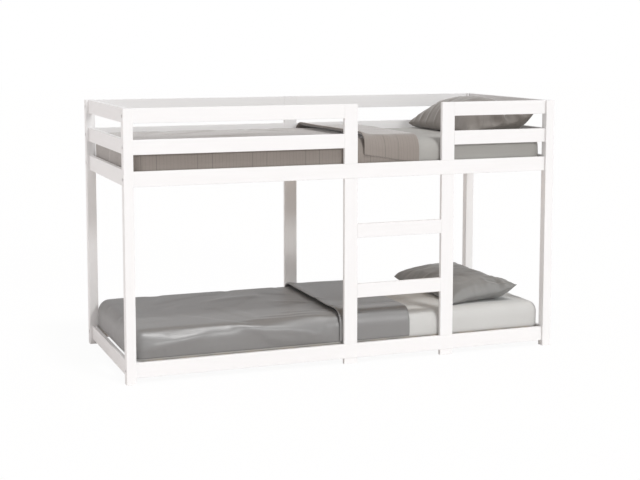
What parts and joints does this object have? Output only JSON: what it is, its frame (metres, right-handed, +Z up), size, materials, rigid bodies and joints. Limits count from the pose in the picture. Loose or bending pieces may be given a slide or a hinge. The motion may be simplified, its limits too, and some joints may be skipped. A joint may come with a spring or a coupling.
{
  "type": "bunk bed with ladder",
  "caption": "Low bunk bed with white board frame on square posts, guarded upper bunk, fixed front ladder, slatted decks, mattresses, duvets and pillows.",
  "frame": {"origin": "on the floor under the middle of the bed", "axes": "+X along the bed towards the pillows, +Y across it from the ladder side to the back, +Z up"},
  "size_m": [1.955, 0.802, 1.1218],
  "materials": {
    "white_paint": "satin white paint on planed pine",
    "pine": "planed natural pine",
    "zinc_steel": "zinc plated",
    "sheet": "fitted cotton sheet over foam",
    "duvet_lower": "dark grey cotton satin",
    "duvet_upper": "grey brown checked cotton",
    "pillow_lower": "dark grey cotton satin",
    "pillow_upper": "grey brown cotton"
  },
  "bodies": {
    "frame": {"post_front_left": "white_paint", "post_front_right": "white_paint", "post_back_left": "white_paint", "post_back_right": "white_paint", "ladder_stile_left": "white_paint", "ladder_stile_right": "white_paint", "ladder_rung_lower": "white_paint", "ladder_rung_upper": "white_paint", "back_support_board": "white_paint", "side_rail_lower_front": "white_paint", "side_rail_lower_back": "white_paint", "side_rail_upper_front": "white_paint", "side_rail_upper_back": "white_paint", "guard_mid_front_left": "white_paint", "guard_top_front_left": "white_paint", "guard_mid_front_right": "white_paint", "guard_top_front_right": "white_paint", "guard_mid_back": "white_paint", "guard_top_back": "white_paint", "end_rail_bottom_left": "white_paint", "end_rail_bunk_left": "white_paint", "end_rail_mid_left": "white_paint", "end_rail_top_left": "white_paint", "end_rail_bottom_right": "white_paint", "end_rail_bunk_right": "white_paint", "end_rail_mid_right": "white_paint", "end_rail_top_right": "white_paint", "ledger_lower_front": "pine", "ledger_lower_back": "pine", "ledger_upper_front": "pine", "ledger_upper_back": "pine", "slats_lower": "pine", "slats_upper": "pine", "bed_bolts": "zinc_steel", "barrel_nuts": "zinc_steel", "wood_dowels": "pine", "ledger_screws": "zinc_steel", "slat_screws": "zinc_steel", "lap_screws": "zinc_steel"},
    "upper_bedding": {"mattress_upper": "sheet", "duvet_upper": "duvet_upper"},
    "upper_pillow": {"pillow_upper": "pillow_upper"},
    "lower_bedding": {"mattress_lower": "sheet", "duvet_lower": "duvet_lower"},
    "lower_pillow": {"pillow_lower": "pillow_lower"}
  },
  "joints": [
    {"name": "upper_bedding_lift", "type": "slide", "parent": "frame", "child": "upper_bedding", "axis": [0, 0, 1], "range_m": [0, 0.3]},
    {"name": "upper_pillow_lift", "type": "slide", "parent": "upper_bedding", "child": "upper_pillow", "axis": [0, 0, 1], "range_m": [0, 0.25]},
    {"name": "lower_bedding_lift", "type": "slide", "parent": "frame", "child": "lower_bedding", "axis": [0, 0, 1], "range_m": [0, 0.2]},
    {"name": "lower_pillow_lift", "type": "slide", "parent": "lower_bedding", "child": "lower_pillow", "axis": [0, 0, 1], "range_m": [0, 0.15]}
  ]
}
